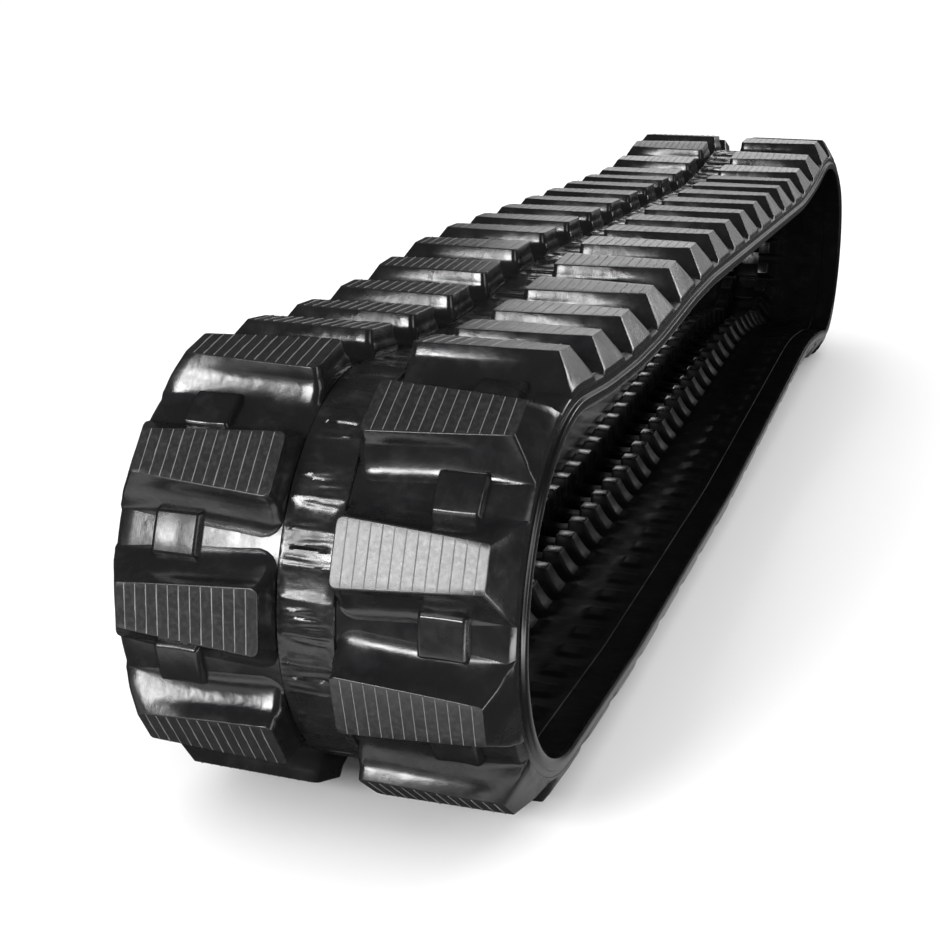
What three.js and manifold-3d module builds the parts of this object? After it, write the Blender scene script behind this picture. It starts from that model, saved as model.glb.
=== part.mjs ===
// Endless rubber track of a small tracked machine, lying free on the ground.
// Millimetres, +Z up. X runs across the track, Y along it, and the origin is at the bottom centre.
//
// The belt is laid out as a closed chain of straight links, one link for each steel core.
// Every layer of the belt is a ring that follows the chain at its own depth, and every
// repeated piece is made once in the frame of a link and then set on its own link.
// In a link's frame x is across the track, y is along it and z points out to the ground side.
import * as THREE from "three";
import { ConvexGeometry } from "three/addons/geometries/ConvexGeometry.js";
import { mergeVertices } from "three/addons/utils/BufferGeometryUtils.js";
import Module from "manifold-3d";

const wasm = await Module();
wasm.setup();

// ---------------------------------------------------------------- driving dimensions

const LINK_COUNT = 86; // one steel core each
const LINK_PITCH = 54.5; // from core to core
const HALF_WIDTH = 175; // the track is 350 wide

// The side view of the free loop: each stretch is a number of links with its turn in degrees,
// shared between its bends. Minus turns towards the inside. The first link is on the near nose,
// and the chain climbs from it, runs back along the top and comes home along the ground.
const FIRST_LINK_ANGLE = 68.03;
const LOOP = [
  { links: 4, bends: 4, turn: -73.84 }, // upper near nose
  { links: 7, bends: 3, turn: 9.5 }, // hollow behind it
  { links: 5, bends: 2, turn: -5.15 }, // low hump
  { links: 12, bends: 0, turn: 0 }, // straight top run
  { links: 5, bends: 4, turn: 11.29 }, // rise to the far crest
  { links: 6, bends: 6, turn: -43.04 }, // far crest
  { links: 8, bends: 8, turn: -159.25 }, // far nose
  { links: 6, bends: 5, turn: 15.35 }, // back up into a shallow arch
  { links: 8, bends: 0, turn: 0 }, // falling side of the arch
  { links: 19, bends: 2, turn: -5.78 }, // flat run on the ground
  { links: 6, bends: 6, turn: -109.08 }, // lower near nose
];

// Depths in the belt, measured from the pitch line and positive to the ground side.
const LUG_TOP = 30;
const TREAD_FACE = 3.5;
const TREAD_BACK = -0.3;
const PLY_FACE = -0.6;
const PLY_BACK = -1.6;
const CORD_FACE = -1.9;
const CORD_BACK = -3.7;
const CORE_FACE = -4;
const WING_BACK = -14.5;
const BRIDGE_BACK = -16;
const WHEEL_FACE = -20.5; // the face that rollers and idler run on
const HORN_TIP = -46.5;

const FIT_GAP = 0.3; // kept wherever two pieces meet
const OVERLAP = 1; // how far bodies that are joined into one reach into each other
const MERGE_DISTANCE = 1e-4; // vertices closer than this are one

// Distances from the middle of the track to each side.
const CENTRE_RIB_EDGE = 32;
const CORD_EDGE = 170;
const WHEEL_RUBBER_EDGE = 20.3;
const CORE_WING_END = 120;
const HORN_FOOT_INNER = 19.5;
const HORN_FOOT_OUTER = 66;
const HORN_TIP_INNER = 22;
const HORN_TIP_OUTER = 43;

const CORE_LENGTH = 27; // along the track
const PAIR_WEB = { halfWidth: 8, back: -6.5 };

// A lug is a block that narrows outwards: x from the middle, and half its length at each end.
const LUG_CREST = { inner: 30, innerHalf: 28, outer: 154, outerHalf: 19.5 };
const LUG_ROOT = { inner: 25, innerHalf: 37.5, outer: 172, outerHalf: 27.5 };
const LUG_ROOT_DEPTH = 0;

// One small raised pad stands in each valley between two lugs.
const PAD = { middle: 115, halfWidth: 16.5, halfLength: 14.5, height: 7, bevel: 1.5 };
const PAD_ROOT_DEPTH = 2;

// ---------------------------------------------------------------- the chain of links

function bendAfterEachLink() {
  const bends = [];
  for (const stretch of LOOP) {
    const first = bends.length;
    for (let i = 0; i < stretch.links; i++) bends.push(0);
    for (let b = 0; b < stretch.bends; b++) {
      const link = first + Math.floor(((b + 0.5) * stretch.links) / stretch.bends);
      bends[link] += THREE.MathUtils.degToRad(stretch.turn / stretch.bends);
    }
  }
  return bends;
}

// The joints between links as points of the side view (x along the track, y up).
// Whatever is left open at the end is shared out evenly, so that the loop closes exactly.
function closedChain(bends) {
  const joints = [new THREE.Vector2()];
  let angle = THREE.MathUtils.degToRad(FIRST_LINK_ANGLE);
  for (const bend of bends) {
    const step = new THREE.Vector2(Math.cos(angle), Math.sin(angle));
    joints.push(joints.at(-1).clone().addScaledVector(step, LINK_PITCH));
    angle += bend;
  }
  const openEnd = joints.pop();
  joints.forEach((joint, i) => joint.addScaledVector(openEnd, -i / LINK_COUNT));
  return joints;
}

const bends = bendAfterEachLink();
const joints = closedChain(bends);

const links = joints.map((joint, i) => {
  const next = joints[(i + 1) % LINK_COUNT];
  const along = next.clone().sub(joint).normalize();
  return {
    middle: joint.clone().add(next).multiplyScalar(0.5),
    angle: along.angle(),
    outward: new THREE.Vector2(-along.y, along.x),
  };
});

// The point of a joint at a depth, on the line that halves the bend.
function jointPoint(index, depth) {
  const before = links[(index + LINK_COUNT - 1) % LINK_COUNT].outward;
  const after = links[index % LINK_COUNT].outward;
  const halfway = before.clone().add(after).normalize();
  const reach = depth / halfway.dot(after);
  return joints[index % LINK_COUNT].clone().addScaledVector(halfway, reach);
}

function linkPoint(index, depth) {
  const link = links[index];
  return link.middle.clone().addScaledVector(link.outward, depth);
}

// ---------------------------------------------------------------- shapes to solids

function toSolid(geometry) {
  const bare = new THREE.BufferGeometry();
  bare.setAttribute("position", geometry.getAttribute("position"));
  if (geometry.index) bare.setIndex(geometry.index);
  const merged = mergeVertices(bare, MERGE_DISTANCE);
  const mesh = new wasm.Mesh({
    numProp: 3,
    vertProperties: merged.attributes.position.array,
    triVerts: new Uint32Array(merged.index.array),
  });
  return new wasm.Manifold(mesh);
}

function toGeometry(solid) {
  const mesh = solid.getMesh();
  const geometry = new THREE.BufferGeometry();
  geometry.setAttribute("position", new THREE.BufferAttribute(mesh.vertProperties, 3));
  geometry.setIndex(new THREE.BufferAttribute(mesh.triVerts, 1));
  const faceted = geometry.toNonIndexed();
  faceted.computeVertexNormals();
  return faceted;
}

// Stretches a side-view shape across the track, from one x to another.
function acrossTrack(shape, fromX, toX) {
  const geometry = new THREE.ExtrudeGeometry(shape, {
    depth: toX - fromX,
    bevelEnabled: false,
  });
  const sideView = new THREE.Matrix4().makeBasis(
    new THREE.Vector3(0, 1, 0),
    new THREE.Vector3(0, 0, 1),
    new THREE.Vector3(1, 0, 0),
  );
  geometry.applyMatrix4(sideView);
  geometry.translate(fromX, 0, 0);
  return geometry;
}

// One layer of the belt: all round the loop, between two depths and two distances across.
function ring(backDepth, faceDepth, fromX, toX) {
  const turns = (joint) => bends[(joint + LINK_COUNT - 1) % LINK_COUNT] !== 0;
  const corners = [...joints.keys()].filter(turns);
  const shape = new THREE.Shape(corners.map((joint) => jointPoint(joint, faceDepth)));
  // The hole runs the other way round from the outline.
  corners.reverse();
  shape.holes.push(new THREE.Path(corners.map((joint) => jointPoint(joint, backDepth))));
  return toSolid(acrossTrack(shape, fromX, toX));
}

// Moves geometry from the frame of a link to its place in the loop.
function onLink(geometry, index) {
  const placed = geometry.clone();
  placed.rotateX(links[index].angle);
  placed.translate(0, links[index].middle.x, links[index].middle.y);
  return placed;
}

// A profile in x and depth, stretched along the track about the middle of a link.
function alongLink(points, length) {
  const shape = new THREE.Shape(points.map(([x, depth]) => new THREE.Vector2(x, depth)));
  const geometry = new THREE.ExtrudeGeometry(shape, { depth: length, bevelEnabled: false });
  geometry.translate(0, 0, -length / 2);
  geometry.rotateX(Math.PI / 2);
  return geometry;
}

function mirrored(points) {
  const otherSide = points.map(([x, depth]) => [-x, depth]).reverse();
  return [...points, ...otherSide];
}

// ---------------------------------------------------------------- tread rubber

function lugGeometry(side) {
  const corners = [];
  for (const [outline, depth] of [[LUG_CREST, LUG_TOP], [LUG_ROOT, LUG_ROOT_DEPTH]]) {
    for (const end of [-1, 1]) {
      corners.push(new THREE.Vector3(side * outline.inner, end * outline.innerHalf, depth));
      corners.push(new THREE.Vector3(side * outline.outer, end * outline.outerHalf, depth));
    }
  }
  return new ConvexGeometry(corners);
}

function padGeometry(side) {
  const corners = [];
  for (const [grow, depth] of [[0, TREAD_FACE + PAD.height], [PAD.bevel, PAD_ROOT_DEPTH]]) {
    for (const across of [-1, 1]) {
      for (const along of [-1, 1]) {
        const x = side * PAD.middle + across * (PAD.halfWidth + grow);
        corners.push(new THREE.Vector3(x, along * (PAD.halfLength + grow), depth));
      }
    }
  }
  return new ConvexGeometry(corners);
}

// The cover all round, a rib between the two cord bands and a lip that closes each edge.
// Lugs stand on the right over even links and on the left over odd ones, pads opposite them.
function treadRubber() {
  let rubber = ring(TREAD_BACK, TREAD_FACE, -HALF_WIDTH, HALF_WIDTH);
  const ribDepths = [CORD_BACK, TREAD_BACK + OVERLAP];
  rubber = rubber.add(ring(...ribDepths, -CENTRE_RIB_EDGE, CENTRE_RIB_EDGE));
  rubber = rubber.add(ring(...ribDepths, CORD_EDGE + FIT_GAP, HALF_WIDTH));
  rubber = rubber.add(ring(...ribDepths, -HALF_WIDTH, -CORD_EDGE - FIT_GAP));
  for (let i = 0; i < LINK_COUNT; i++) {
    const lugSide = i % 2 === 0 ? 1 : -1;
    rubber = rubber.add(toSolid(onLink(lugGeometry(lugSide), i)));
    rubber = rubber.add(toSolid(onLink(padGeometry(-lugSide), i)));
  }
  return rubber;
}

// ---------------------------------------------------------------- steel cores

// Seen along the track: two wings, a bridge between them and a guide horn on each side.
const CORE_PROFILE = mirrored([
  [CORE_WING_END, CORE_FACE],
  [CORE_WING_END, WING_BACK],
  [HORN_FOOT_OUTER, WING_BACK],
  [HORN_TIP_OUTER, HORN_TIP],
  [HORN_TIP_INNER, HORN_TIP],
  [HORN_FOOT_INNER, BRIDGE_BACK],
]);

// Two neighbouring cores, held to each other by a thin web that lies against the tread rubber.
function corePair(first) {
  const core = alongLink(CORE_PROFILE, CORE_LENGTH);
  const webLine = [
    linkPoint(first, PAIR_WEB.back),
    jointPoint(first + 1, PAIR_WEB.back),
    linkPoint(first + 1, PAIR_WEB.back),
    linkPoint(first + 1, CORE_FACE),
    jointPoint(first + 1, CORE_FACE),
    linkPoint(first, CORE_FACE),
  ];
  const web = acrossTrack(new THREE.Shape(webLine), -PAIR_WEB.halfWidth, PAIR_WEB.halfWidth);
  return toSolid(onLink(core, first))
    .add(toSolid(onLink(core, first + 1)))
    .add(toSolid(web));
}

// ---------------------------------------------------------------- wheel-side rubber

// The seat that a core needs in the wheel-side rubber, with a small gap all round it.
const SEAT_PAST_FACE = 2; // how far the cut runs out of the rubber at both faces
const HORN_SLOPE = (HORN_FOOT_OUTER - HORN_TIP_OUTER) / (WING_BACK - HORN_TIP);
const SEAT_FOOT = HORN_FOOT_OUTER + 1.5 * FIT_GAP;
const SEAT_PROFILE = mirrored([
  [CORE_WING_END + FIT_GAP, CORE_FACE + SEAT_PAST_FACE],
  [CORE_WING_END + FIT_GAP, WING_BACK - FIT_GAP],
  [SEAT_FOOT, WING_BACK - FIT_GAP],
  [SEAT_FOOT - HORN_SLOPE * (WING_BACK - WHEEL_FACE + SEAT_PAST_FACE), WHEEL_FACE - SEAT_PAST_FACE],
]);

function wheelSideRubber(fromX, toX) {
  const seat = alongLink(SEAT_PROFILE, CORE_LENGTH + 2 * FIT_GAP);
  let rubber = ring(WHEEL_FACE, CORE_FACE, fromX, toX);
  for (let i = 0; i < LINK_COUNT; i++) {
    rubber = rubber.subtract(toSolid(onLink(seat, i)));
  }
  return rubber;
}

// ---------------------------------------------------------------- the track

const TREAD_FINISH = { color: 0x121213, roughness: 0.25, metalness: 0 };
const WHEEL_SIDE_FINISH = { color: 0x101011, roughness: 0.45, metalness: 0 };
const CORD_FINISH = { color: 0x8a8880, roughness: 0.4, metalness: 1 };
const PLY_FINISH = { color: 0x4b463c, roughness: 0.9, metalness: 0 };
const CORE_FINISH = { color: 0x1b1c1e, roughness: 0.5, metalness: 0.7 };

const track = new THREE.Group();
track.name = "rubber_track";

function addPiece(name, solid, finish) {
  const mesh = new THREE.Mesh(toGeometry(solid), new THREE.MeshStandardMaterial(finish));
  mesh.name = name;
  track.add(mesh);
}

addPiece("tread_rubber", treadRubber(), TREAD_FINISH);

for (const [side, sign] of [["left", -1], ["right", 1]]) {
  const across = (near, far) => [sign * near, sign * far].sort((a, b) => a - b);
  const bandEdges = across(CENTRE_RIB_EDGE + FIT_GAP, CORD_EDGE);
  const rubberEdges = across(WHEEL_RUBBER_EDGE, HALF_WIDTH);
  addPiece("wheel_side_rubber_" + side, wheelSideRubber(...rubberEdges), WHEEL_SIDE_FINISH);
  addPiece("cord_band_" + side, ring(CORD_BACK, CORD_FACE, ...bandEdges), CORD_FINISH);
  addPiece("ply_" + side, ring(PLY_BACK, PLY_FACE, ...bandEdges), PLY_FINISH);
}

for (let first = 0; first < LINK_COUNT; first += 2) {
  const number = String(first / 2 + 1).padStart(2, "0");
  addPiece("core_pair_" + number, corePair(first), CORE_FINISH);
}

// The finished loop is centred on the origin and stands on the ground plane.
const bounds = new THREE.Box3().setFromObject(track);
const centre = bounds.getCenter(new THREE.Vector3());
for (const mesh of track.children) {
  mesh.position.set(-centre.x, -centre.y, -bounds.min.z);
}

export default track;
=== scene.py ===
import math

import bmesh
import bpy
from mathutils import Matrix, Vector, noise


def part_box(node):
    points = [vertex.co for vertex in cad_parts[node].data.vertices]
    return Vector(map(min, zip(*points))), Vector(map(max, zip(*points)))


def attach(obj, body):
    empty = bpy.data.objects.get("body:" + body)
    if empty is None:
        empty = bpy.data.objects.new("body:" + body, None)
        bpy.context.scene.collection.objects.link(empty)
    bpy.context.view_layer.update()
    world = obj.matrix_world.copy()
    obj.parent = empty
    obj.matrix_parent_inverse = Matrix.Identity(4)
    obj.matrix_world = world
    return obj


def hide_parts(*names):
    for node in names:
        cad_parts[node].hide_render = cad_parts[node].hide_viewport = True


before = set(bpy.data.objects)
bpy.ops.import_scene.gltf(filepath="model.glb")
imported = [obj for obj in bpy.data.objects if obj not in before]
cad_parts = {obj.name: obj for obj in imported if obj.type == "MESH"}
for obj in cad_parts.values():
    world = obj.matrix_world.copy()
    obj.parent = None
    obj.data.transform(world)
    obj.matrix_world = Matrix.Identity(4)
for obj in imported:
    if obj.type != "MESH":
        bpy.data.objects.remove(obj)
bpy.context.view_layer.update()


# ---------------------------------------------------------------------------
# The studio. A wide pale floor runs out of sight, so it is also the backdrop. The
# rubber mirrors a dim room, the cards and soft boxes set up in it, and three painted
# reflections: bright patches on the floor beside the belt that only glossy rays see.

floor_mesh = bpy.data.meshes.new("studio_floor")
half_floor = 120.0
floor_corners = [(x * half_floor, y * half_floor, 0) for x, y in ((-1, -1), (1, -1), (1, 1), (-1, 1))]
floor_mesh.from_pydata(floor_corners, [], [(0, 1, 2, 3)])
studio_floor = bpy.data.objects.new("studio_floor", floor_mesh)
bpy.context.scene.collection.objects.link(studio_floor)


def remapped(nodes, links, value, low, high, to_low=0.0, to_high=1.0):
    """A value moved from the range low to high into the range to_low to to_high."""
    made = nodes.new("ShaderNodeMapRange")
    links.new(value, made.inputs[0])
    for spot, setting in zip(list(made.inputs)[1:5], (low, high, to_low, to_high)):
        spot.default_value = setting
    return made.outputs[0]


def floor_paint_with_painted_reflections():
    """Matt pale paint for the camera. Glossy rays see a dark floor with three painted reflections on it:
    bright patches beside the belt, up to six times brighter than the light on them.
    """
    material = bpy.data.materials.new("pale floor paint")
    material.use_nodes = True
    nodes, links = material.node_tree.nodes, material.node_tree.links
    paint = nodes["Principled BSDF"]
    paint.inputs["Base Color"].default_value = (0.93, 0.93, 0.93, 1)
    paint.inputs["Roughness"].default_value = 0.9
    paint.inputs["Specular IOR Level"].default_value = 0.1
    place = nodes.new("ShaderNodeTexCoord").outputs["Object"]
    reflection_patch_tones = []
    # Painted reflections: three bright patches that only show in the gloss of the rubber.
    for centre, half_size, brightness in (
        ((0.30, -1.35), (0.95, 0.14), 1.1),  # in front of the near nose
        ((0.82, -1.38), (0.32, 0.22), 6.0),  # at its right-hand corner
        ((0.21, 0.0), (0.07, 1.15), 0.65),  # along the right-hand edge
    ):
        patch = nodes.new("ShaderNodeMapping")
        patch.vector_type = "TEXTURE"
        patch.inputs["Location"].default_value = (*centre, 0)
        patch.inputs["Scale"].default_value = (*half_size, 1)
        links.new(place, patch.inputs["Vector"])
        away = nodes.new("ShaderNodeVectorMath")
        away.operation = "LENGTH"
        links.new(patch.outputs[0], away.inputs[0])
        reflection_patch_tones.append(remapped(nodes, links, away.outputs["Value"], 0.7, 1.2, brightness, 0.05))
    brightest_reflection_patch = reflection_patch_tones[0]
    for tone in reflection_patch_tones[1:]:
        brighter = nodes.new("ShaderNodeMath")
        brighter.operation = "MAXIMUM"
        links.new(brightest_reflection_patch, brighter.inputs[0])
        links.new(tone, brighter.inputs[1])
        brightest_reflection_patch = brighter.outputs[0]
    # What glossy rays see: the painted reflection patches on an otherwise dark floor.
    painted_reflection = nodes.new("ShaderNodeBsdfDiffuse")
    links.new(brightest_reflection_patch, painted_reflection.inputs["Color"])
    choice = nodes.new("ShaderNodeMixShader")
    links.new(nodes.new("ShaderNodeLightPath").outputs["Is Glossy Ray"], choice.inputs[0])
    links.new(paint.outputs[0], choice.inputs[1])
    links.new(painted_reflection.outputs[0], choice.inputs[2])
    links.new(choice.outputs[0], nodes["Material Output"].inputs["Surface"])
    return material


floor_mesh.materials.append(floor_paint_with_painted_reflections())

world = bpy.data.worlds.new("studio air")
bpy.context.scene.world = world
world.use_nodes = True
air_nodes, air_links = world.node_tree.nodes, world.node_tree.links
seen_brightness, mirrored_brightness = 1.14, 0.06
glossy_ray = air_nodes.new("ShaderNodeLightPath").outputs["Is Glossy Ray"]
air_strength = remapped(air_nodes, air_links, glossy_ray, 0, 1, seen_brightness, mirrored_brightness)
air_links.new(air_strength, air_nodes["Background"].inputs["Strength"])
air_nodes["Background"].inputs["Color"].default_value = (1, 1, 1, 1)


def soft_box(name, place, target, width, height, watts):
    """An area light at place, facing target."""
    light = bpy.data.lights.new(name, "AREA")
    light.shape = "RECTANGLE"
    light.size = width
    light.size_y = height
    light.energy = watts
    lamp = bpy.data.objects.new(name, light)
    lamp.location = place
    lamp.rotation_euler = (Vector(target) - Vector(place)).to_track_quat("-Z", "Y").to_euler()
    bpy.context.scene.collection.objects.link(lamp)
    return lamp


soft_box("front_soft_box", (-1.15, -4.2, 1.55), (0, -1.0, 0.25), 1.3, 0.9, 120)
soft_box("back_soft_box", (-0.7, 4.6, 1.7), (0, 0.6, 0.35), 1.8, 0.9, 17)
soft_box("back_right_card", (1.25, 4.9, 1.0), (0.16, 0.0, 0.4), 1.8, 1.4, 4.5)
soft_box("rear_soft_box", (2.9, 4.2, 1.7), (0, 1.1, 0.3), 1.4, 0.9, 32)
soft_box("low_front_card", (-1.4, -4.8, 0.45), (0, -1.0, 0.3), 4.0, 0.9, 11)
soft_box("tall_right_card", (3.0, -1.8, 1.0), (0.17, -1.1, 0.3), 1.6, 2.0, 30)

camera_data = bpy.data.cameras.new("camera")
camera_data.lens = 61.14
camera_data.sensor_width = 36
camera_data.clip_end = 500
camera = bpy.data.objects.new("camera", camera_data)
camera.location = (0.4989, -2.1449, 0.7127)
camera.rotation_euler = (math.radians(90 - 17.56), 0, math.radians(18.56))
bpy.context.scene.collection.objects.link(camera)
bpy.context.scene.camera = camera
bpy.context.scene.view_settings.view_transform = "Standard"


# ---------------------------------------------------------------------------
# The lie of the belt. The free loop follows its steel cores: straight over each
# core and bending between them. Everything else is made flat, as if the belt were
# cut and rolled out, and is then laid along this line.

core_count = 86
core_pitch = 54.5  # all sizes in this script are millimetres until a mesh is made
first_heading = 68.03  # degrees above level, at the first core
# Each stretch: cores, bends, and the turn in degrees shared between the bends.
belt_stretches = [
    (4, 4, -73.84),  # upper near nose
    (7, 3, 9.5),  # hollow behind it
    (5, 2, -5.15),  # low hump
    (12, 0, 0),  # straight top run
    (5, 4, 11.29),  # rise to the far crest
    (6, 6, -43.04),  # far crest
    (8, 8, -159.25),  # far nose
    (6, 5, 15.35),  # back up into a shallow arch
    (8, 0, 0),  # falling side of the arch
    (19, 2, -5.78),  # run on the ground
    (6, 6, -109.08),  # lower near nose
]
cord_face = -1.9  # depth of the cord bands' outer face below the pitch line

turns = []
for cores, bends, turn in belt_stretches:
    stretch_start = len(turns)
    turns += [0.0] * cores
    for bend in range(bends):
        turns[stretch_start + int((bend + 0.5) * cores / bends)] += math.radians(turn / bends)

joints = [Vector((0, 0))]
heading = math.radians(first_heading)
for turn in turns:
    joints.append(joints[-1] + Vector((math.cos(heading), math.sin(heading))) * core_pitch)
    heading += turn
open_end = joints.pop()
joints = [joint - open_end * (i / core_count) for i, joint in enumerate(joints)]
steps = [joints[(i + 1) % core_count] - joints[i] for i in range(core_count)]
headings = [math.atan2(step.y, step.x) for step in steps]


def bend_at(joint):
    """The turn at a joint, between minus and plus half a circle."""
    turn = headings[joint % core_count] - headings[joint - 1]
    return (turn + math.pi) % (2 * math.pi) - math.pi


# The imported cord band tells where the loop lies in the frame.
band_corners = []
for i, joint in enumerate(joints):
    middle_heading = headings[i - 1] + bend_at(i) / 2
    reach = cord_face / math.cos(bend_at(i) / 2)
    band_corners.append(joint + Vector((-math.sin(middle_heading), math.cos(middle_heading))) * reach)
band_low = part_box("cord_band_right")[0]
shift = Vector((
    band_low[1] * 1000 - min(corner.x for corner in band_corners),
    band_low[2] * 1000 - min(corner.y for corner in band_corners),
))
joints = [joint + shift for joint in joints]
core_middles = [joint + step / 2 for joint, step in zip(joints, steps)]

# Round the bends: an arc from the middle of each core to the middle of the next.
arc_points = 12
line_points = []
for i in range(core_count):
    bend = bend_at(i + 1)
    for k in range(arc_points):
        t = k / arc_points
        if abs(bend) < 1e-5:
            line_points.append(core_middles[i] + steps[i] * t)
            continue
        radius = core_pitch / 2 / math.tan(bend / 2)
        turned = headings[i] + bend * t
        line_points.append(core_middles[i] + radius * Vector((
            math.sin(turned) - math.sin(headings[i]),
            math.cos(headings[i]) - math.cos(turned),
        )))
distance = [0.0]
for i, point in enumerate(line_points):
    distance.append(distance[-1] + (line_points[(i + 1) % len(line_points)] - point).length)
core_distance = distance[::arc_points]

line_data = bpy.data.curves.new("belt_line", "CURVE")
line_data.dimensions = "3D"
spline = line_data.splines.new("POLY")
spline.points.add(len(line_points) - 1)
for spot, point in zip(spline.points, line_points):
    spot.co = (0, point.x / 1000, point.y / 1000, 1)
spline.use_cyclic_u = True
belt_line = bpy.data.objects.new("belt_line", line_data)
bpy.context.scene.collection.objects.link(belt_line)

step_lengths = [core_distance[i + 1] - core_distance[i] for i in range(core_count)]
core_data = bpy.data.meshes.new("core_spots")
core_data.from_pydata([(0, p.x / 1000, p.y / 1000) for p in core_middles], [], [])
for name, values in (
    ("along", [core_distance[i] / 1000 for i in range(core_count)]),
    ("before", [step_lengths[i - 1] for i in range(core_count)]),
    ("after", step_lengths),
):
    layer = core_data.attributes.new(name, "FLOAT", "POINT")
    scale = 1 if name == "along" else 1 / core_pitch
    layer.data.foreach_set("value", [value * scale for value in values])
core_spots = bpy.data.objects.new("core_spots", core_data)
bpy.context.scene.collection.objects.link(core_spots)


# ---------------------------------------------------------------------------
# The tread cover. It is the outer skin of black rubber, pressed and cured over the
# cords, with sloped shoulders and one small raised pad in every valley between two
# lugs. It is moulded in lengths of one core, which join without a seam.

half_width = 175.0
cover_face = 3.5
cover_back = -3.7
channel_half = 25.0
shoulder_top, shoulder_foot = 171.0, 172.2
pad_middle, pad_half_width, pad_half_length = 115.0, 16.5, 14.5
pad_height, pad_bevel = 7.5, 5.0


def flat_mesh(name, points, faces):
    """A mesh from points in millimetres: across the belt, along it and out of it."""
    mesh = bpy.data.meshes.new(name)
    mesh.from_pydata([(x / 1000, y / 1000, z / 1000) for x, y, z in points], [], faces)
    mesh.validate()
    return mesh


def tube_of_rows(rows):
    """Points and faces of a skin with open ends, from rows that are closed outlines of one length."""
    size = len(rows[0])
    faces = []
    for r in range(len(rows) - 1):
        for c in range(size):
            d = (c + 1) % size
            faces.append((r * size + c, r * size + d, (r + 1) * size + d, (r + 1) * size + c))
    return [point for row in rows for point in row], faces


def mirrored_mesh(mesh, name):
    """The same moulding for the other side of the belt."""
    other = mesh.copy()
    other.name = name
    for vertex in other.vertices:
        vertex.co.x *= -1
    other.flip_normals()
    return other


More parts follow.
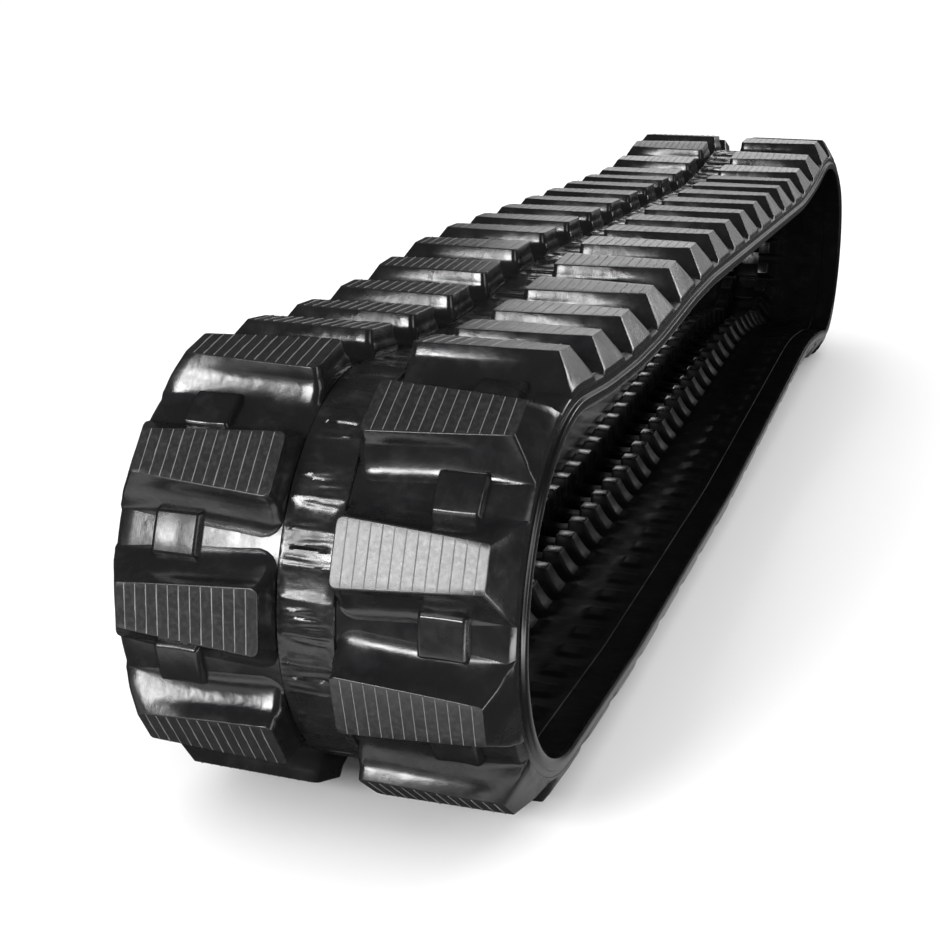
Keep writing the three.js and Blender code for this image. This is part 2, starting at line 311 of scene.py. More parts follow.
def laying_tree():
    """Geometry nodes that repeat a flat piece from core to core and bend it round the belt line."""
    tree = bpy.data.node_groups.new("lay along the belt", "GeometryNodeTree")
    make = tree.interface.new_socket
    for name, kind in (
        ("Piece", "NodeSocketGeometry"),
        ("Other piece", "NodeSocketObject"),
        ("Belt line", "NodeSocketObject"),
        ("Core spots", "NodeSocketObject"),
        ("First core", "NodeSocketInt"),
        ("Last core", "NodeSocketInt"),
        ("Every", "NodeSocketInt"),
        ("Bends below", "NodeSocketFloat"),
        ("Stiff above", "NodeSocketFloat"),
        ("Unevenness", "NodeSocketFloat"),
        ("Uneven size", "NodeSocketFloat"),
        ("Seed", "NodeSocketFloat"),
        ("Weld", "NodeSocketFloat"),
        ("Material", "NodeSocketMaterial"),
    ):
        make(name, in_out="INPUT", socket_type=kind)
    make("Geometry", in_out="OUTPUT", socket_type="NodeSocketGeometry")

    def put(kind, *wires, **settings):
        made = tree.nodes.new(kind)
        for key, value in settings.items():
            setattr(made, key, value)
        for slot_index, source in wires:
            target = made.inputs[slot_index]
            if hasattr(source, "is_output"):
                tree.links.new(source, target)
            else:
                target.default_value = source
        return made

    def maths(operation, a, b=0.0, c=0.0):
        return put("ShaderNodeMath", (0, a), (1, b), (2, c), operation=operation).outputs[0]

    def vectors(operation, a, b=None, scale=None):
        wires = [(0, a)]
        if b is not None:
            wires.append((1, b))
        if scale is not None:
            wires.append(("Scale", scale))
        return put("ShaderNodeVectorMath", *wires, operation=operation).outputs[0]

    def named(name, kind):
        found = put("GeometryNodeInputNamedAttribute", ("Name", name), data_type=kind)
        return next(s for s in found.outputs if s.enabled and s.name == "Attribute")

    def stored(geometry, name, value, kind):
        made = put("GeometryNodeStoreNamedAttribute", ("Name", name), data_type=kind, domain="POINT")
        tree.links.new(geometry, made.inputs["Geometry"])
        tree.links.new(value, next(s for s in made.inputs if s.enabled and s.name == "Value"))
        return made.outputs["Geometry"]

    given = put("NodeGroupInput").outputs
    place = put("GeometryNodeInputPosition").outputs[0]
    other = put("GeometryNodeObjectInfo", ("Object", given["Other piece"])).outputs["Geometry"]
    both = put("GeometryNodeJoinGeometry")
    for shape in (other, given["Piece"]):
        flat = stored(shape, "flat", place, "FLOAT_VECTOR")
        single = put("GeometryNodeGeometryToInstance", (0, flat)).outputs[0]
        tree.links.new(single, both.inputs[0])

    # One piece on every wanted core, the two shapes in turn.
    index = put("GeometryNodeInputIndex").outputs[0]
    past_first = maths("SUBTRACT", index, given["First core"])
    in_step = maths("COMPARE", maths("FLOORED_MODULO", past_first, given["Every"]), 0.0, 0.1)
    after_first = maths("GREATER_THAN", past_first, -0.5)
    to_last = maths("LESS_THAN", index, maths("ADD", given["Last core"], 0.5))
    wanted = maths("MULTIPLY", in_step, maths("MULTIPLY", after_first, to_last))
    turn_about = maths("FLOORED_MODULO", maths("FLOOR", maths("DIVIDE", past_first, given["Every"])), 2.0)
    spots = put("GeometryNodeObjectInfo", ("Object", given["Core spots"])).outputs["Geometry"]
    placed = put(
        "GeometryNodeInstanceOnPoints",
        ("Points", spots),
        ("Selection", wanted),
        ("Instance", both.outputs[0]),
        ("Pick Instance", True),
        ("Instance Index", turn_about),
    ).outputs[0]
    solid = put("GeometryNodeRealizeInstances", ("Geometry", placed)).outputs[0]

    # Where each point belongs along the line, bent with the belt or stiff like a block.
    flat_axes = put("ShaderNodeSeparateXYZ", (0, named("flat", "FLOAT_VECTOR"))).outputs
    along = named("along", "FLOAT")
    ahead = maths("GREATER_THAN", flat_axes["Y"], 0.0)
    behind = maths("SUBTRACT", 1.0, ahead)
    fit_ahead = maths("MULTIPLY", ahead, named("after", "FLOAT"))
    fit_behind = maths("MULTIPLY", behind, named("before", "FLOAT"))
    fit = maths("ADD", fit_ahead, fit_behind)
    offset = maths("MULTIPLY", flat_axes["Y"], fit)
    line = put("GeometryNodeObjectInfo", ("Object", given["Belt line"])).outputs["Geometry"]
    total = put("GeometryNodeCurveLength", (0, line)).outputs[0]
    across = put("ShaderNodeCombineXYZ", ("X", flat_axes["X"])).outputs[0]

    def frame_at(length):
        """Where a point lies for a length along the line, and the line's two directions there."""
        wrapped = maths("FLOORED_MODULO", length, total)
        sample = put(
            "GeometryNodeSampleCurve", ("Curves", line), ("Length", wrapped), mode="LENGTH",
        ).outputs
        axes = put("ShaderNodeSeparateXYZ", (0, sample["Tangent"])).outputs
        down = maths("MULTIPLY", axes["Z"], -1.0)
        outward = put("ShaderNodeCombineXYZ", ("Y", down), ("Z", axes["Y"])).outputs[0]
        raised = vectors("ADD", sample["Position"], vectors("SCALE", outward, scale=flat_axes["Z"]))
        return vectors("ADD", raised, across), sample["Tangent"], outward

    bent, _, bent_outward = frame_at(maths("ADD", along, offset))
    base, base_tangent, _ = frame_at(along)
    stiff = vectors("ADD", base, vectors("SCALE", base_tangent, scale=offset))
    share = put(
        "ShaderNodeMapRange",
        (0, flat_axes["Z"]),
        (1, given["Bends below"]),
        (2, given["Stiff above"]),
        interpolation_type="SMOOTHSTEP",
    ).outputs[0]
    stiff_part = vectors("SCALE", stiff, scale=share)
    bent_part = vectors("SCALE", bent, scale=maths("SUBTRACT", 1.0, share))
    shape_place = vectors("ADD", stiff_part, bent_part)

    # Cured rubber is never quite even: a slow swell over the surface.
    swell = put(
        "ShaderNodeTexNoise",
        ("Vector", bent),
        ("W", given["Seed"]),
        ("Scale", maths("DIVIDE", 1.0, given["Uneven size"])),
        ("Detail", 2.0),
        noise_dimensions="4D",
    ).outputs[0]
    rise = maths("MULTIPLY", maths("SUBTRACT", swell, 0.5), given["Unevenness"])
    uneven = vectors("ADD", shape_place, vectors("SCALE", bent_outward, scale=rise))
    moved = put("GeometryNodeSetPosition", ("Geometry", solid), ("Position", uneven)).outputs[0]
    joined = put(
        "GeometryNodeMergeByDistance", ("Geometry", moved), ("Distance", given["Weld"]),
    ).outputs[0]
    coated = put(
        "GeometryNodeSetMaterial", ("Geometry", joined), ("Material", given["Material"]),
    ).outputs[0]
    put("NodeGroupOutput", (0, coated))
    return tree


belt_tree = laying_tree()


all_heights = 900.0  # no piece reaches this height, so a piece bends all over
weld_distance = 0.02


def lay(name, piece, other, material, first=0, last=core_count - 1, every=1,
        bends_below=all_heights, stiff_above=all_heights + 1,
        unevenness=0.0, uneven_size=60.0, seed=0.0, crease_angle=40):
    """Lays a flat piece along the belt, turns the result into a plain mesh and returns its object."""
    holder = bpy.data.objects.new(name, piece)
    other_holder = bpy.data.objects.new(name + "_other", other or piece)
    for made in (holder, other_holder):
        bpy.context.scene.collection.objects.link(made)
    modifier = holder.modifiers.new("lay along the belt", "NODES")
    modifier.node_group = belt_tree
    values = {
        "Other piece": other_holder,
        "Belt line": belt_line,
        "Core spots": core_spots,
        "First core": first,
        "Last core": last,
        "Every": every,
        "Bends below": bends_below / 1000,
        "Stiff above": stiff_above / 1000,
        "Unevenness": unevenness / 1000,
        "Uneven size": uneven_size / 1000,
        "Seed": seed,
        "Weld": weld_distance / 1000,
        "Material": material,
    }
    for item in belt_tree.interface.items_tree:
        if item.in_out == "INPUT" and item.name in values:
            modifier[item.identifier] = values[item.name]
    graph = bpy.context.evaluated_depsgraph_get()
    laid = holder.evaluated_get(graph)
    mesh = bpy.data.meshes.new_from_object(laid, preserve_all_data_layers=True, depsgraph=graph)
    bpy.data.objects.remove(holder)
    bpy.data.objects.remove(other_holder)
    mesh.name = name
    for polygon in mesh.polygons:
        polygon.use_smooth = True
    mesh.set_sharp_from_angle(angle=math.radians(crease_angle))
    piece_object = bpy.data.objects.new(name, mesh)
    bpy.context.scene.collection.objects.link(piece_object)
    return piece_object


def skin_group():
    """Shader group for moulded rubber: patches of gloss, bloom on the surface and fine grain."""
    group = bpy.data.node_groups.new("moulded rubber skin", "ShaderNodeTree")
    make = group.interface.new_socket
    make("Place", in_out="INPUT", socket_type="NodeSocketVector")
    for name, value in (("Patch size", 0.04), ("Smoothest", 0.16), ("Roughest", 0.42), ("Grain", 0.3)):
        socket = make(name, in_out="INPUT", socket_type="NodeSocketFloat")
        socket.default_value = value
    make("Roughness", in_out="OUTPUT", socket_type="NodeSocketFloat")
    make("Bloom", in_out="OUTPUT", socket_type="NodeSocketFloat")
    make("Height", in_out="OUTPUT", socket_type="NodeSocketFloat")
    nodes, links = group.nodes, group.links
    given = nodes.new("NodeGroupInput").outputs
    result = nodes.new("NodeGroupOutput").inputs

    def noise_at(scale, detail, rough=0.5):
        made = nodes.new("ShaderNodeTexNoise")
        made.inputs["Detail"].default_value = detail
        made.inputs["Roughness"].default_value = rough
        links.new(given["Place"], made.inputs["Vector"])
        if hasattr(scale, "is_output"):
            links.new(scale, made.inputs["Scale"])
        else:
            made.inputs["Scale"].default_value = scale
        return made.outputs[0]

    def maths(operation, a, b):
        made = nodes.new("ShaderNodeMath")
        made.operation = operation
        for spot, source in zip(made.inputs, (a, b)):
            if hasattr(source, "is_output"):
                links.new(source, spot)
            else:
                spot.default_value = source
        return made.outputs[0]

    def ranged(value, low, high, to_low=0.0, to_high=1.0):
        made = nodes.new("ShaderNodeMapRange")
        links.new(value, made.inputs[0])
        for spot, source in zip(list(made.inputs)[1:5], (low, high, to_low, to_high)):
            if hasattr(source, "is_output"):
                links.new(source, spot)
            else:
                spot.default_value = source
        return made.outputs[0]

    patches = noise_at(maths("DIVIDE", 1.0, given["Patch size"]), 4.0, 0.6)
    links.new(ranged(patches, 0.35, 0.7, given["Smoothest"], given["Roughest"]), result["Roughness"])
    links.new(ranged(noise_at(38.0, 6.0, 0.7), 0.5, 0.75), result["Bloom"])
    grain = maths("MULTIPLY", noise_at(900.0, 3.0), given["Grain"])
    swirl = maths("MULTIPLY", noise_at(70.0, 2.0), 1.4)
    links.new(maths("ADD", grain, swirl), result["Height"])
    return group


rubber_skin = skin_group()


def rubber(name, deep, bloom, smoothest, roughest, grain, bump, gloss=0.5):
    """Black track rubber: a deep colour, a greyer bloom in patches, and the shared skin."""
    material = bpy.data.materials.new(name)
    material.use_nodes = True
    nodes, links = material.node_tree.nodes, material.node_tree.links
    shader = nodes["Principled BSDF"]
    shader.inputs["Specular IOR Level"].default_value = gloss
    place = nodes.new("ShaderNodeTexCoord").outputs["Object"]
    skin = nodes.new("ShaderNodeGroup")
    skin.node_tree = rubber_skin
    links.new(place, skin.inputs["Place"])
    skin.inputs["Smoothest"].default_value = smoothest
    skin.inputs["Roughest"].default_value = roughest
    skin.inputs["Grain"].default_value = grain
    blend = nodes.new("ShaderNodeMix")
    blend.data_type = "RGBA"
    blend.inputs["A"].default_value = (*deep, 1)
    blend.inputs["B"].default_value = (*bloom, 1)
    links.new(skin.outputs["Bloom"], blend.inputs["Factor"])
    colour = [s for s in blend.outputs if s.type == "RGBA"][0]
    links.new(colour, shader.inputs["Base Color"])
    links.new(skin.outputs["Roughness"], shader.inputs["Roughness"])
    relief = nodes.new("ShaderNodeBump")
    relief.inputs["Strength"].default_value = bump
    relief.inputs["Distance"].default_value = 0.0006
    links.new(skin.outputs["Height"], relief.inputs["Height"])
    links.new(relief.outputs["Normal"], shader.inputs["Normal"])
    return material


cover_rubber = rubber(
    "tread cover rubber", (0.007, 0.007, 0.0075), (0.016, 0.016, 0.017),
    smoothest=0.12, roughest=0.34, grain=0.25, bump=0.35,
)


def cover_tile(valley_side):
    """One core length of the cover. valley_side is the side whose valley lies over this core."""
    bevel_steps = [pad_bevel * share for share in (1.0, 0.66, 0.34, 0.1)]
    pad_x = [pad_middle - pad_half_width - step for step in bevel_steps]
    pad_x += [pad_middle + step for step in (-pad_half_width, -6, 6, pad_half_width)]
    pad_x += [pad_middle + pad_half_width + step for step in reversed(bevel_steps)]
    x_steps = [0, 24.5, 26, 38, 56, 76, 88, *pad_x, 145, 156, 166]
    half_pitch = core_pitch / 2
    front_y = [6, pad_half_length]
    front_y += [pad_half_length + step for step in reversed(bevel_steps)]
    front_y += [22, half_pitch]
    y_steps = [-y for y in reversed(front_y)] + front_y

    def height(x, y):
        """How high the cover stands: flat, but for the pad in its valley."""
        if abs(x) < channel_half:
            return cover_face - 1.5
        if x * valley_side < 0:
            return cover_face
        across = max(0.0, 1 - max(0.0, abs(abs(x) - pad_middle) - pad_half_width) / pad_bevel)
        length = max(0.0, 1 - max(0.0, abs(y) - pad_half_length) / pad_bevel)
        hollow = 1.0 * (1 - min(1, abs(abs(x) - pad_middle) / pad_half_width) ** 2)
        rounding = math.sqrt(1 - (1 - across) ** 2) * math.sqrt(1 - (1 - length) ** 2)
        return cover_face + (pad_height - hollow) * rounding

    ground_x = [-x for x in reversed(x_steps[1:])] + x_steps
    edge = [(167.3, 3.0), (171.2, -0.4), (172.2, -1.7), (172.5, cover_back)]
    rows = []
    for y in y_steps:
        row = [(x, y, height(x, y)) for x in ground_x]
        row += [(x, y, n) for x, n in edge]
        row += [(x, y, cover_back) for x in (110, 35, -35, -110)]
        row += [(-x, y, n) for x, n in reversed(edge)]
        rows.append(row)
    points, faces = tube_of_rows(rows)
    return flat_mesh("cover_tile", points, faces)


tread_cover = lay("tread_cover", cover_tile(-1), cover_tile(1), cover_rubber,
                  unevenness=0.5, uneven_size=45)
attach(tread_cover, "root")
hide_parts("tread_rubber")


# ---------------------------------------------------------------------------
# The centre channel. Between the two rows of lugs the cover shows the cores: a low
# bar of rubber over each bridge, split by a slit, and a thin sunken floor over each
# sprocket pocket between them. Thin flash runs along both edges.

# Creases in the two shapes of the floor: place along the core, slant, depth, half width
# and how far they run to the left and the right.
channel_creases = (
    ((0.2, 0.02, 3.2, 1.0, -17, 17), (-8.5, -0.10, -0.9, 1.2, -22, 4), (7.4, 0.06, 0.8, 1.1, -12, 22),
     (20.5, 0.12, -0.7, 1.2, -20, 9)),
    ((-0.4, -0.04, 1.5, 1.0, -12, 13), (6.3, 0.13, -1.0, 1.2, -22, 9), (-7.0, 0.09, 0.9, 1.1, -6, 22),
     (-20.0, -0.08, -0.8, 1.2, -10, 22), (11.0, -0.05, -0.6, 1.0, -2, 20)),
)


def channel_tile(shape):
    """One core length of the channel floor. Shape 0 has an open slit, shape 1 a closed one."""
    half_x = [2.5, 7, 11, 14.5, 17.5, 20, 22, 23, 24.2, 25.2]
    x_steps = [-x for x in reversed(half_x)] + half_x
    half_pitch = core_pitch / 2
    row_count = 34
    y_steps = [-half_pitch + core_pitch * r / row_count for r in range(row_count + 1)]

    def height(x, y):
        """How high the floor stands, with its flash, pocket, creases and lips."""
        if abs(x) > 24.5:
            return cover_face - 0.6
        flash = 0.3 + 0.6 * noise.noise(Vector((x, y * 0.2, 3.0))) if abs(x) > 23.5 else 0.0
        sunk = max(0.0, 1 - ((abs(y) - half_pitch) / 12) ** 2) if abs(y) > 15 else 0.0
        level = cover_face + 1.6 - 1.7 * sunk * min(1, (23 - min(abs(x), 23)) / 5)
        roll = 0.35 * noise.noise(Vector((x * 0.12, y * 0.3, shape * 5.0)))
        at_end = min(1, (half_pitch - abs(y)) / 4)
        for place, slant, depth, half_width_y, left, right in channel_creases[shape]:
            near = max(0.0, 1 - abs(y - place - slant * x) / (half_width_y * 1.5))
            taper = max(0.0, min(1, (x - left) / 3, (right - x) / 3))
            level -= depth * near * taper * at_end
        lip = max(0.0, 1 - abs(abs(y + 0.03 * x) - 13.9) / 1.7) * (0.7 + roll)
        return level + roll * at_end + lip * (abs(x) < 22.5) + flash

    rows = []
    for y in y_steps:
        row = [(x, y, height(x, y)) for x in x_steps]
        row += [(x, y, cover_face - 3.5) for x in (20, -20)]
        rows.append(row)
    points, faces = tube_of_rows(rows)
    return flat_mesh("channel_tile", points, faces)


channel_rubber = rubber(
    "channel rubber", (0.008, 0.008, 0.0085), (0.02, 0.02, 0.021),
    smoothest=0.16, roughest=0.42, grain=0.3, bump=0.6,
)
centre_channel = lay("centre_channel", channel_tile(0), channel_tile(1), channel_rubber,
                     unevenness=0.9, uneven_size=18, seed=3.0, crease_angle=50)
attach(centre_channel, "root")
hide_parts("tread_rubber")


# ---------------------------------------------------------------------------
# The lugs. Each is a solid block of rubber with a dull flat face, crossed by fine ribs
# of flash from the vents of the mould. Its flanks run out in hollow glossy fillets, and
# its outer end is cut off in one slope with the belt's shoulder.

lug_top = 30.0
lug_inner, lug_outer = 30.0, 154.0
lug_inner_half, lug_outer_half = 28.0, 19.5
rib_count, rib_spacing, rib_half, rib_height = 12, 9.7, 0.65, 0.75
cross_rows = 8  # rows of faces from the front edge of the crest to its back edge
flank_draft = math.radians(12)
fillet_radius = 21.0
end_flare = 0.79  # at its outer end the flank is flat and moves out this much per mm of height
# From the crest outwards: how far the flank has moved out, and its height. Below a
# steep face it runs out in one round fillet.
lug_flank = [(-0.4, lug_top), (0.2, 29.93), (0.7, 29.65), (1.05, 29.1)]
fillet_low_x = 2.4 + fillet_radius * math.cos(flank_draft)
for share in (0, 0.14, 0.28, 0.42, 0.55, 0.67, 0.78, 0.89, 1):
    slope = (math.pi / 2 - flank_draft) * (1 - share)
    lug_flank.append((
        fillet_low_x - fillet_radius * math.sin(slope),
        cover_face + fillet_radius * (1 - math.cos(slope)),
    ))
lug_flank.append((fillet_low_x + 1.5, cover_face - 0.4))


def lug_half_length(x):
    """Half the crest's length along the belt, which narrows towards the outer end."""
    return lug_inner_half + (lug_outer_half - lug_inner_half) * (x - lug_inner) / (lug_outer - lug_inner)


def lug_outline(out, top):
    """The lug's front edge at one height, from the inner end to the outer end."""
    inner_x = lug_inner - min(out, 6) * 0.8
    slant = (lug_top - top) * (shoulder_top - lug_outer) / (lug_top - cover_face)
    outer_x = lug_outer + slant + min(out, 0)
    outer_x = min(outer_x, shoulder_foot)
    inner_radius = 5.5 + max(out, 0) * 0.5
    outer_radius = 2.4
    end_out = (lug_top - top) * end_flare - 0.4
    points = []
    for k in range(5):
        turn = math.pi / 8 * k
        x = inner_x + inner_radius
        y = lug_half_length(x) + out - inner_radius * (1 - math.sin(turn))
        points.append((x - inner_radius * math.cos(turn), y))
    first_x, last_x = inner_x + inner_radius, outer_x - outer_radius
    columns = 14
    for column in range(1, columns + 1):
        share = column / columns
        x = first_x + (last_x - first_x) * share
        points.append((x, lug_half_length(x) + out + (end_out - out) * share ** 3))
    for k in (1, 2):
        turn = math.pi / 4 * k
        points.append((
            last_x + outer_radius * math.sin(turn),
            lug_half_length(last_x) + end_out - outer_radius * (1 - math.cos(turn)),
        ))
    return points


def add_ribs(points, faces, seed):
    """Thin bars of flash across the crest, each with a sharp uneven top and closed ends."""
    for rib in range(rib_count):
        x = lug_inner + 9.0 + rib_spacing * rib
        reach = lug_half_length(x) - 0.7
        start = len(points)
        for row in range(cross_rows + 1):
            y = reach * (1 - 2 * row / cross_rows)
            rough = noise.noise(Vector((rib * 0.9, row * 0.7, seed * 7.3)))
            points.append((x - rib_half, y, lug_top - 0.15))
            points.append((x + 0.4 * rough, y, lug_top + rib_height * (1 + 0.6 * rough)))
            points.append((x + rib_half, y, lug_top - 0.15))
        for row in range(cross_rows):
            for side in range(3):
                a, b = start + row * 3 + side, start + row * 3 + (side + 1) % 3
                faces.append((a, b, b + 3, a + 3))
        last = start + cross_rows * 3
        faces.append((start, start + 2, start + 1))
        faces.append((last, last + 1, last + 2))


def lug_mesh(seed):
    """A right-hand lug. The seed varies how clean the ribs of flash are."""
    rings = []
    for out, top in lug_flank + [(lug_flank[-1][0], cover_face - 5.3)]:
        front = lug_outline(out, top)
        steps = [1 - 2 * r / cross_rows for r in range(1, cross_rows)]
        ring = front + [(front[-1][0], front[-1][1] * step) for step in steps]
        ring += [(x, -y) for x, y in reversed(front)]
        ring += [(front[0][0], -front[0][1] * step) for step in steps]
        rings.append([(x, y, top) for x, y in ring])
    front_count = len(lug_outline(0, lug_top))
    size = len(rings[0])
    points, faces = tube_of_rows(rings)
    # The crest and the buried underside: columns from the front edge to the back edge.
    for ring_index in (0, len(rings) - 1):
        start = ring_index * size
        columns = []
        for k in range(front_count):
            back = start + size - cross_rows - k
            if k == 0:
                between = [start + size - r for r in range(1, cross_rows)]
            elif k == front_count - 1:
                between = [start + k + r for r in range(1, cross_rows)]
            else:
                x, y, top = rings[ring_index][k]
                between = list(range(len(points), len(points) + cross_rows - 1))
                points += [(x, y * (1 - 2 * r / cross_rows), top) for r in range(1, cross_rows)]
            columns.append([start + k, *between, back])
        for left, right in zip(columns, columns[1:]):
            for r in range(cross_rows):
                faces.append((left[r], left[r + 1], right[r + 1], right[r]))
    add_ribs(points, faces, seed)
    mesh = flat_mesh("lug", points, faces)
    sheet = bmesh.new()
    sheet.from_mesh(mesh)
    bmesh.ops.remove_doubles(sheet, verts=sheet.verts, dist=0.000005)
    bmesh.ops.recalc_face_normals(sheet, faces=sheet.faces)
    sheet.to_mesh(mesh)
    sheet.free()
    return mesh


def flat_places(nodes, links):
    """Where a point lay on the flat piece: across, along and out, in metres."""
    flat = nodes.new("ShaderNodeAttribute")
    flat.attribute_name = "flat"
    axes = nodes.new("ShaderNodeSeparateXYZ")
    links.new(flat.outputs["Vector"], axes.inputs[0])
    return axes.outputs


def lug_rubber():
    """Glossy flanks, and a dull grey crest with a painted highlight on its ribs, told apart by height on
    the flat lug.
    """
    material = rubber(
        "lug rubber", (0.007, 0.007, 0.0075), (0.014, 0.014, 0.015),
        smoothest=0.1, roughest=0.34, grain=0.3, bump=0.4,
    )
    nodes, links = material.node_tree.nodes, material.node_tree.links
    shader = nodes["Principled BSDF"]
    height = flat_places(nodes, links)["Z"]
    crest = remapped(nodes, links, height, (lug_top - 0.8) / 1000, (lug_top - 0.2) / 1000)
    scuffs = nodes.new("ShaderNodeTexNoise")
    scuffs.inputs["Scale"].default_value = 260
    scuffs.inputs["Detail"].default_value = 8
    scuffs.inputs["Roughness"].default_value = 0.7
    links.new(nodes.new("ShaderNodeTexCoord").outputs["Object"], scuffs.inputs["Vector"])
    grey = remapped(nodes, links, scuffs.outputs[0], 0.45, 0.8, 0.012, 0.035)
    # The ribs are painted paler than the crest: a painted highlight standing in for light catching their
    # sharp tops.
    rib_painted_highlight = remapped(nodes, links, height, (lug_top + 0.05) / 1000, (lug_top + 0.4) / 1000)
    rib_painted_highlight_colour = nodes.new("ShaderNodeMix")
    rib_painted_highlight_colour.data_type = "RGBA"
    # The colour of the painted highlight on the ribs.
    rib_painted_highlight_colour.inputs["B"].default_value = (0.17, 0.17, 0.17, 1)
    links.new(rib_painted_highlight, rib_painted_highlight_colour.inputs["Factor"])
    links.new(grey, rib_painted_highlight_colour.inputs["A"])
    colour = nodes.new("ShaderNodeMix")
    colour.data_type = "RGBA"
    links.new(crest, colour.inputs["Factor"])
    links.new(shader.inputs["Base Color"].links[0].from_socket, colour.inputs["A"])
    links.new([s for s in rib_painted_highlight_colour.outputs if s.type == "RGBA"][0], colour.inputs["B"])
    links.new([s for s in colour.outputs if s.type == "RGBA"][0], shader.inputs["Base Color"])
    dull = nodes.new("ShaderNodeMix")
    links.new(crest, dull.inputs["Factor"])
    links.new(shader.inputs["Roughness"].links[0].from_socket, dull.inputs["A"])
    streaks = remapped(nodes, links, scuffs.outputs[0], 0.3, 0.7, 0.27, 0.36)
    links.new(streaks, dull.inputs["B"])
    links.new(dull.outputs[0], shader.inputs["Roughness"])
    return material


lug_finish = lug_rubber()
lug_a, lug_b = lug_mesh(1.0), lug_mesh(2.0)
for side, first, shapes in (
    ("right", 0, (lug_a, lug_b)),
    ("left", 1, (mirrored_mesh(lug_a, "lug_left_a"), mirrored_mesh(lug_b, "lug_left_b"))),
):
    lug_row = lay("lug_row_" + side, *shapes, lug_finish, first=first, every=2,
                  bends_below=5, stiff_above=16,
                  unevenness=0.35, uneven_size=30, seed=5.0 + first, crease_angle=35)
    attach(lug_row, "root")
    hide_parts("tread_rubber")


# ---------------------------------------------------------------------------
# The wheel-side rubber. On each side of the horns it makes the flat path that rollers
# run on, a low ridge over every core wing, a scored line near the edge and the belt's
# edge wall, where the halves of the mould left a line of flash.

wheel_face = -20.5
wheel_back = -4.0
rubber_inner = 20.3
ridge_inner, ridge_outer, ridge_height = 99, 130, 2.4
foot_outer, foot_height = 72, 2.2
scored_line, scored_depth = (141.5, 143), 0.8
# From the tread side to the wheel side: how far the wall stands out, and its depth.
edge_wall = [
    (-2.4, -6.0), (-2.3, -8.2), (-1.9, -8.8), (-0.2, -9.7), (0.7, -10.3), (1.1, -11.2), (1.3, -13.0),
    (1.4, -16.0), (1.0, -18.4), (-0.2, -20.0),
]


def wheel_tile():
    """One core length of the right-hand wheel-side rubber."""
    x_steps = [rubber_inner, 22, 40, 58, 66, 69, 74, 88, 99, 102.5, 106, 112, 118, 124, 127.5, 131, 138,
               141, 141.8, 142.6, 143.4, 150, 160, 168, 171.5]
    half_pitch = core_pitch / 2
    y_steps = [-half_pitch, -23, -19, -15.5, -12.5, -9.5, -4, 4, 9.5, 12.5, 15.5, 19, 23, half_pitch]

    def depth(x, y):
        """How deep the wheel side lies, with its ridge, the core's foot and the scored line."""
        ridge_x = max(0.0, min(1.0, (x - ridge_inner) / 5, (ridge_outer - x) / 5))
        ridge_y = max(0.0, min(1.0, (17 - abs(y)) / 5))
        ridge = ridge_height * ridge_x * ridge_y
        foot_x = max(0.0, min(1.0, (foot_outer - x) / 6))
        foot_y = max(0.0, min(1.0, (21.5 - abs(y)) / 5))
        foot = foot_height * foot_x * foot_y
        line = scored_depth if scored_line[0] < x < scored_line[1] else 0.0
        return wheel_face - ridge - foot + line

    rows = []
    for y in y_steps:
        row = [(x, y, wheel_back) for x in (rubber_inner, 60, 120, 172.4)]
        row += [(half_width + step, y, level) for step, level in edge_wall]
        row += [(x, y, depth(x, y)) for x in reversed(x_steps)]
        rows.append(row)
    points, faces = tube_of_rows(rows)
    return flat_mesh("wheel_tile", points, faces)


def add_coat(material, axis, matt_below, glossy_above):
    """Gives back the gloss of the mould where the flat piece lies further out than the matt part."""
    nodes, links = material.node_tree.nodes, material.node_tree.links
    out = nodes.new("ShaderNodeMath")
    out.operation = "ABSOLUTE"
    links.new(flat_places(nodes, links)[axis], out.inputs[0])
    shader = nodes["Principled BSDF"]
    gloss = remapped(nodes, links, out.outputs[0], matt_below, glossy_above)
    links.new(gloss, shader.inputs["Coat Weight"])
    shader.inputs["Coat Roughness"].default_value = 0.25


wheel_rubber = rubber(
    "wheel-side rubber", (0.003, 0.003, 0.0033), (0.006, 0.006, 0.0065),
    smoothest=0.3, roughest=0.5, grain=0.35, bump=0.4, gloss=0.03,
)
add_coat(wheel_rubber, "X", 0.1715, 0.1725)
wheel_right = wheel_tile()
for side, tile in (("right", wheel_right), ("left", mirrored_mesh(wheel_right, "wheel_tile_left"))):
    wheel_side = lay("wheel_side_" + side, tile, tile, wheel_rubber,
                     unevenness=0.4, uneven_size=40, seed=9.0)
    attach(wheel_side, "root")
    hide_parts("wheel_side_rubber_" + side)


# ---------------------------------------------------------------------------
# The cores. Each is a cast steel bar with two guide horns, covered by a thin skin of
# rubber. The horns guide the rollers, and a sprocket tooth pushes on the bridge between
# them. Two neighbours make up one piece.

# Depth, inner and outer x, half length and corner radius of the horn's sections.
horn_sections = [
    (-15.5, 20.2, 66.5, 18.0, 6.0), (-21.0, 20.4, 63.0, 17.6, 6.0), (-23.2, 20.9, 59.0, 16.6, 6.0),
    (-27.0, 21.2, 55.0, 15.6, 5.5), (-33.0, 21.5, 50.5, 14.4, 5.0), (-40.0, 21.9, 46.2, 13.2, 4.6),
    (-44.6, 22.2, 43.6, 12.4, 4.2), (-46.1, 22.8, 42.6, 11.6, 3.6), (-46.5, 23.8, 41.4, 10.6, 3.0),
]
bridge_half_width, bridge_half_length = 21.5, 13.4
bridge_face, bridge_swell, bridge_round = -16.0, 1.6, 3.6


def rounded_rectangle(x_low, x_high, y_half, radius, steps=3):
    """The outline of a section with round corners, centred along the belt."""
    points = []
    for cx, cy, start in (
        (x_high - radius, y_half - radius, 0), (x_low + radius, y_half - radius, 1),
        (x_low + radius, radius - y_half, 2), (x_high - radius, radius - y_half, 3),
    ):
        for k in range(steps + 1):
            turn = math.pi / 2 * (start + k / steps)
            points.append((cx + radius * math.cos(turn), cy + radius * math.sin(turn)))
    return points


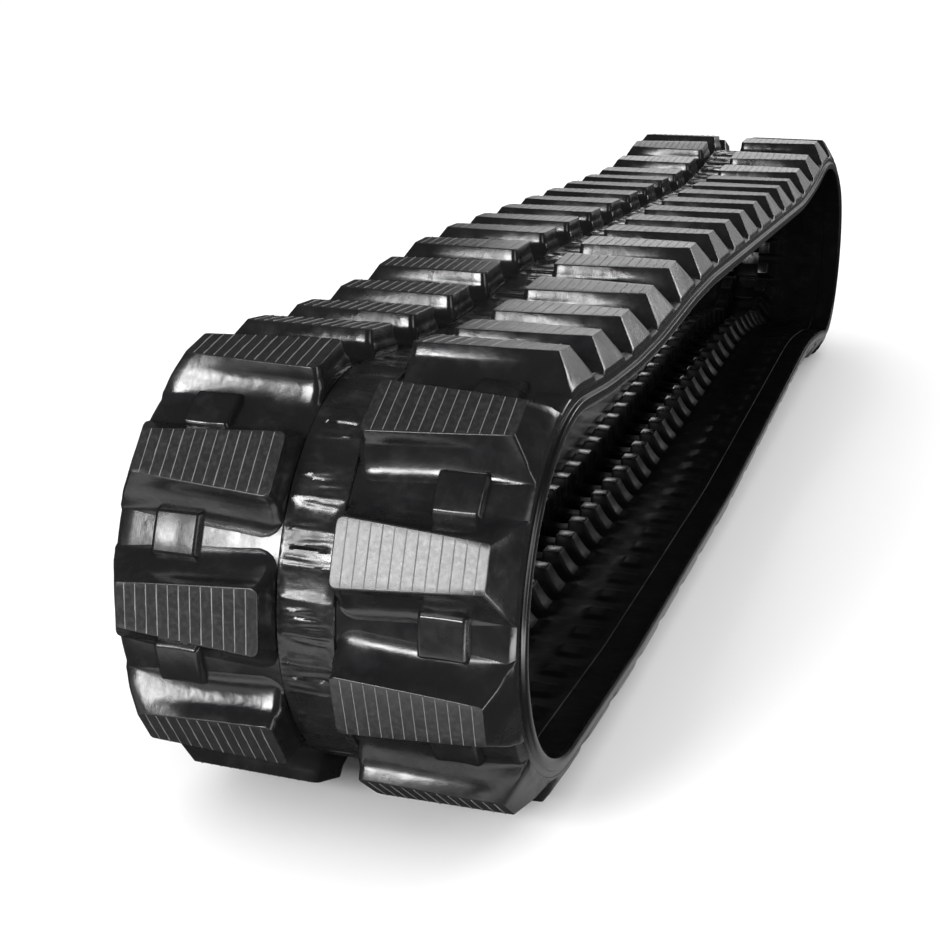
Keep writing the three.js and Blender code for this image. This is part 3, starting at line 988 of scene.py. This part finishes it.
def core_mesh():
    """One core as it shows: two horns and the rounded bridge between them."""
    points, faces = [], []

    def skin(rings):
        """Adds one closed body from its sections."""
        start = len(points)
        size = len(rings[0])
        for ring in rings:
            points.extend(ring)
        for r in range(len(rings) - 1):
            for c in range(size):
                d = (c + 1) % size
                low, high = start + r * size, start + (r + 1) * size
                faces.append((low + c, low + d, high + d, high + c))
        faces.append(tuple(start + c for c in reversed(range(size))))
        faces.append(tuple(start + (len(rings) - 1) * size + c for c in range(size)))

    for side in (1, -1):
        rings = []
        for depth, inner, outer, half, radius in horn_sections:
            ring = rounded_rectangle(inner, outer, half, radius)
            rings.append([(side * x, y, depth) for x, y in ring])
        skin(rings)
    bridge = []
    for x in (-bridge_half_width, -19.5, -17, -8, 0, 8, 17, 19.5, bridge_half_width):
        swell = bridge_swell * (abs(x) / bridge_half_width) ** 2
        ring = rounded_rectangle(bridge_face - swell, wheel_back - 0.3, bridge_half_length, bridge_round)
        bridge.append([(x, y, depth) for depth, y in ring])
    skin(bridge)
    mesh = flat_mesh("core", points, faces)
    sheet = bmesh.new()
    sheet.from_mesh(mesh)
    bmesh.ops.recalc_face_normals(sheet, faces=sheet.faces)
    sheet.to_mesh(mesh)
    sheet.free()
    return mesh


core_skin = rubber(
    "core skin", (0.003, 0.003, 0.003), (0.008, 0.008, 0.008),
    smoothest=0.3, roughest=0.5, grain=0.5, bump=0.5, gloss=0.05,
)
add_coat(core_skin, "Z", 0.0458, 0.0463)
core_shape = core_mesh()
for pair in range(core_count // 2):
    core_pair = lay(f"cores_{pair + 1:02d}", core_shape, core_shape, core_skin,
                    first=2 * pair, last=2 * pair + 1,
                    bends_below=-all_heights, stiff_above=1 - all_heights,
                    unevenness=0.5, uneven_size=25, seed=pair * 0.37)
    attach(core_pair, "root")
    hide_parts(f"core_pair_{pair + 1:02d}")


# ---------------------------------------------------------------------------
# The bands inside. Steel cords carry the pull and fabric plies bind them to the tread.
# They lie sealed in the rubber and keep the shapes that they have in the frame.

def cord_steel():
    """Brassed steel cords side by side in rubber, each twisted, running along the belt."""
    material = bpy.data.materials.new("brassed cord")
    material.use_nodes = True
    nodes, links = material.node_tree.nodes, material.node_tree.links
    shader = nodes["Principled BSDF"]
    shader.inputs["Metallic"].default_value = 0.9
    shader.inputs["Roughness"].default_value = 0.38
    axes = nodes.new("ShaderNodeSeparateXYZ")
    links.new(nodes.new("ShaderNodeTexCoord").outputs["Object"], axes.inputs[0])
    rows = nodes.new("ShaderNodeMath")
    rows.operation = "PINGPONG"
    links.new(axes.outputs["X"], rows.inputs[0])
    rows.inputs[1].default_value = 0.0015
    tone = nodes.new("ShaderNodeMapRange")
    links.new(rows.outputs[0], tone.inputs[0])
    tone.inputs[1].default_value = 0.0002
    tone.inputs[2].default_value = 0.0012
    paint = nodes.new("ShaderNodeMix")
    paint.data_type = "RGBA"
    paint.inputs["A"].default_value = (0.02, 0.018, 0.015, 1)
    paint.inputs["B"].default_value = (0.55, 0.48, 0.33, 1)
    links.new(tone.outputs[0], paint.inputs["Factor"])
    links.new([s for s in paint.outputs if s.type == "RGBA"][0], shader.inputs["Base Color"])
    relief = nodes.new("ShaderNodeBump")
    relief.inputs["Distance"].default_value = 0.0008
    links.new(tone.outputs[0], relief.inputs["Height"])
    links.new(relief.outputs["Normal"], shader.inputs["Normal"])
    return material


def ply_cloth():
    """Rubberised cloth with a fine square weave."""
    material = bpy.data.materials.new("rubberised cloth")
    material.use_nodes = True
    nodes, links = material.node_tree.nodes, material.node_tree.links
    shader = nodes["Principled BSDF"]
    shader.inputs["Roughness"].default_value = 0.85
    weave = nodes.new("ShaderNodeTexChecker")
    weave.inputs["Scale"].default_value = 900
    weave.inputs["Color1"].default_value = (0.11, 0.09, 0.07, 1)
    weave.inputs["Color2"].default_value = (0.07, 0.06, 0.05, 1)
    links.new(nodes.new("ShaderNodeTexCoord").outputs["Object"], weave.inputs["Vector"])
    links.new(weave.outputs["Color"], shader.inputs["Base Color"])
    relief = nodes.new("ShaderNodeBump")
    relief.inputs["Distance"].default_value = 0.0003
    links.new(weave.outputs["Fac"], relief.inputs["Height"])
    links.new(relief.outputs["Normal"], shader.inputs["Normal"])
    return material


for node_name, finish in (("cord_band", cord_steel()), ("ply", ply_cloth())):
    for side in ("left", "right"):
        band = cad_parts[node_name + "_" + side]
        band.data.materials.clear()
        band.data.materials.append(finish)

for helper in (belt_line, core_spots):
    bpy.data.objects.remove(helper)
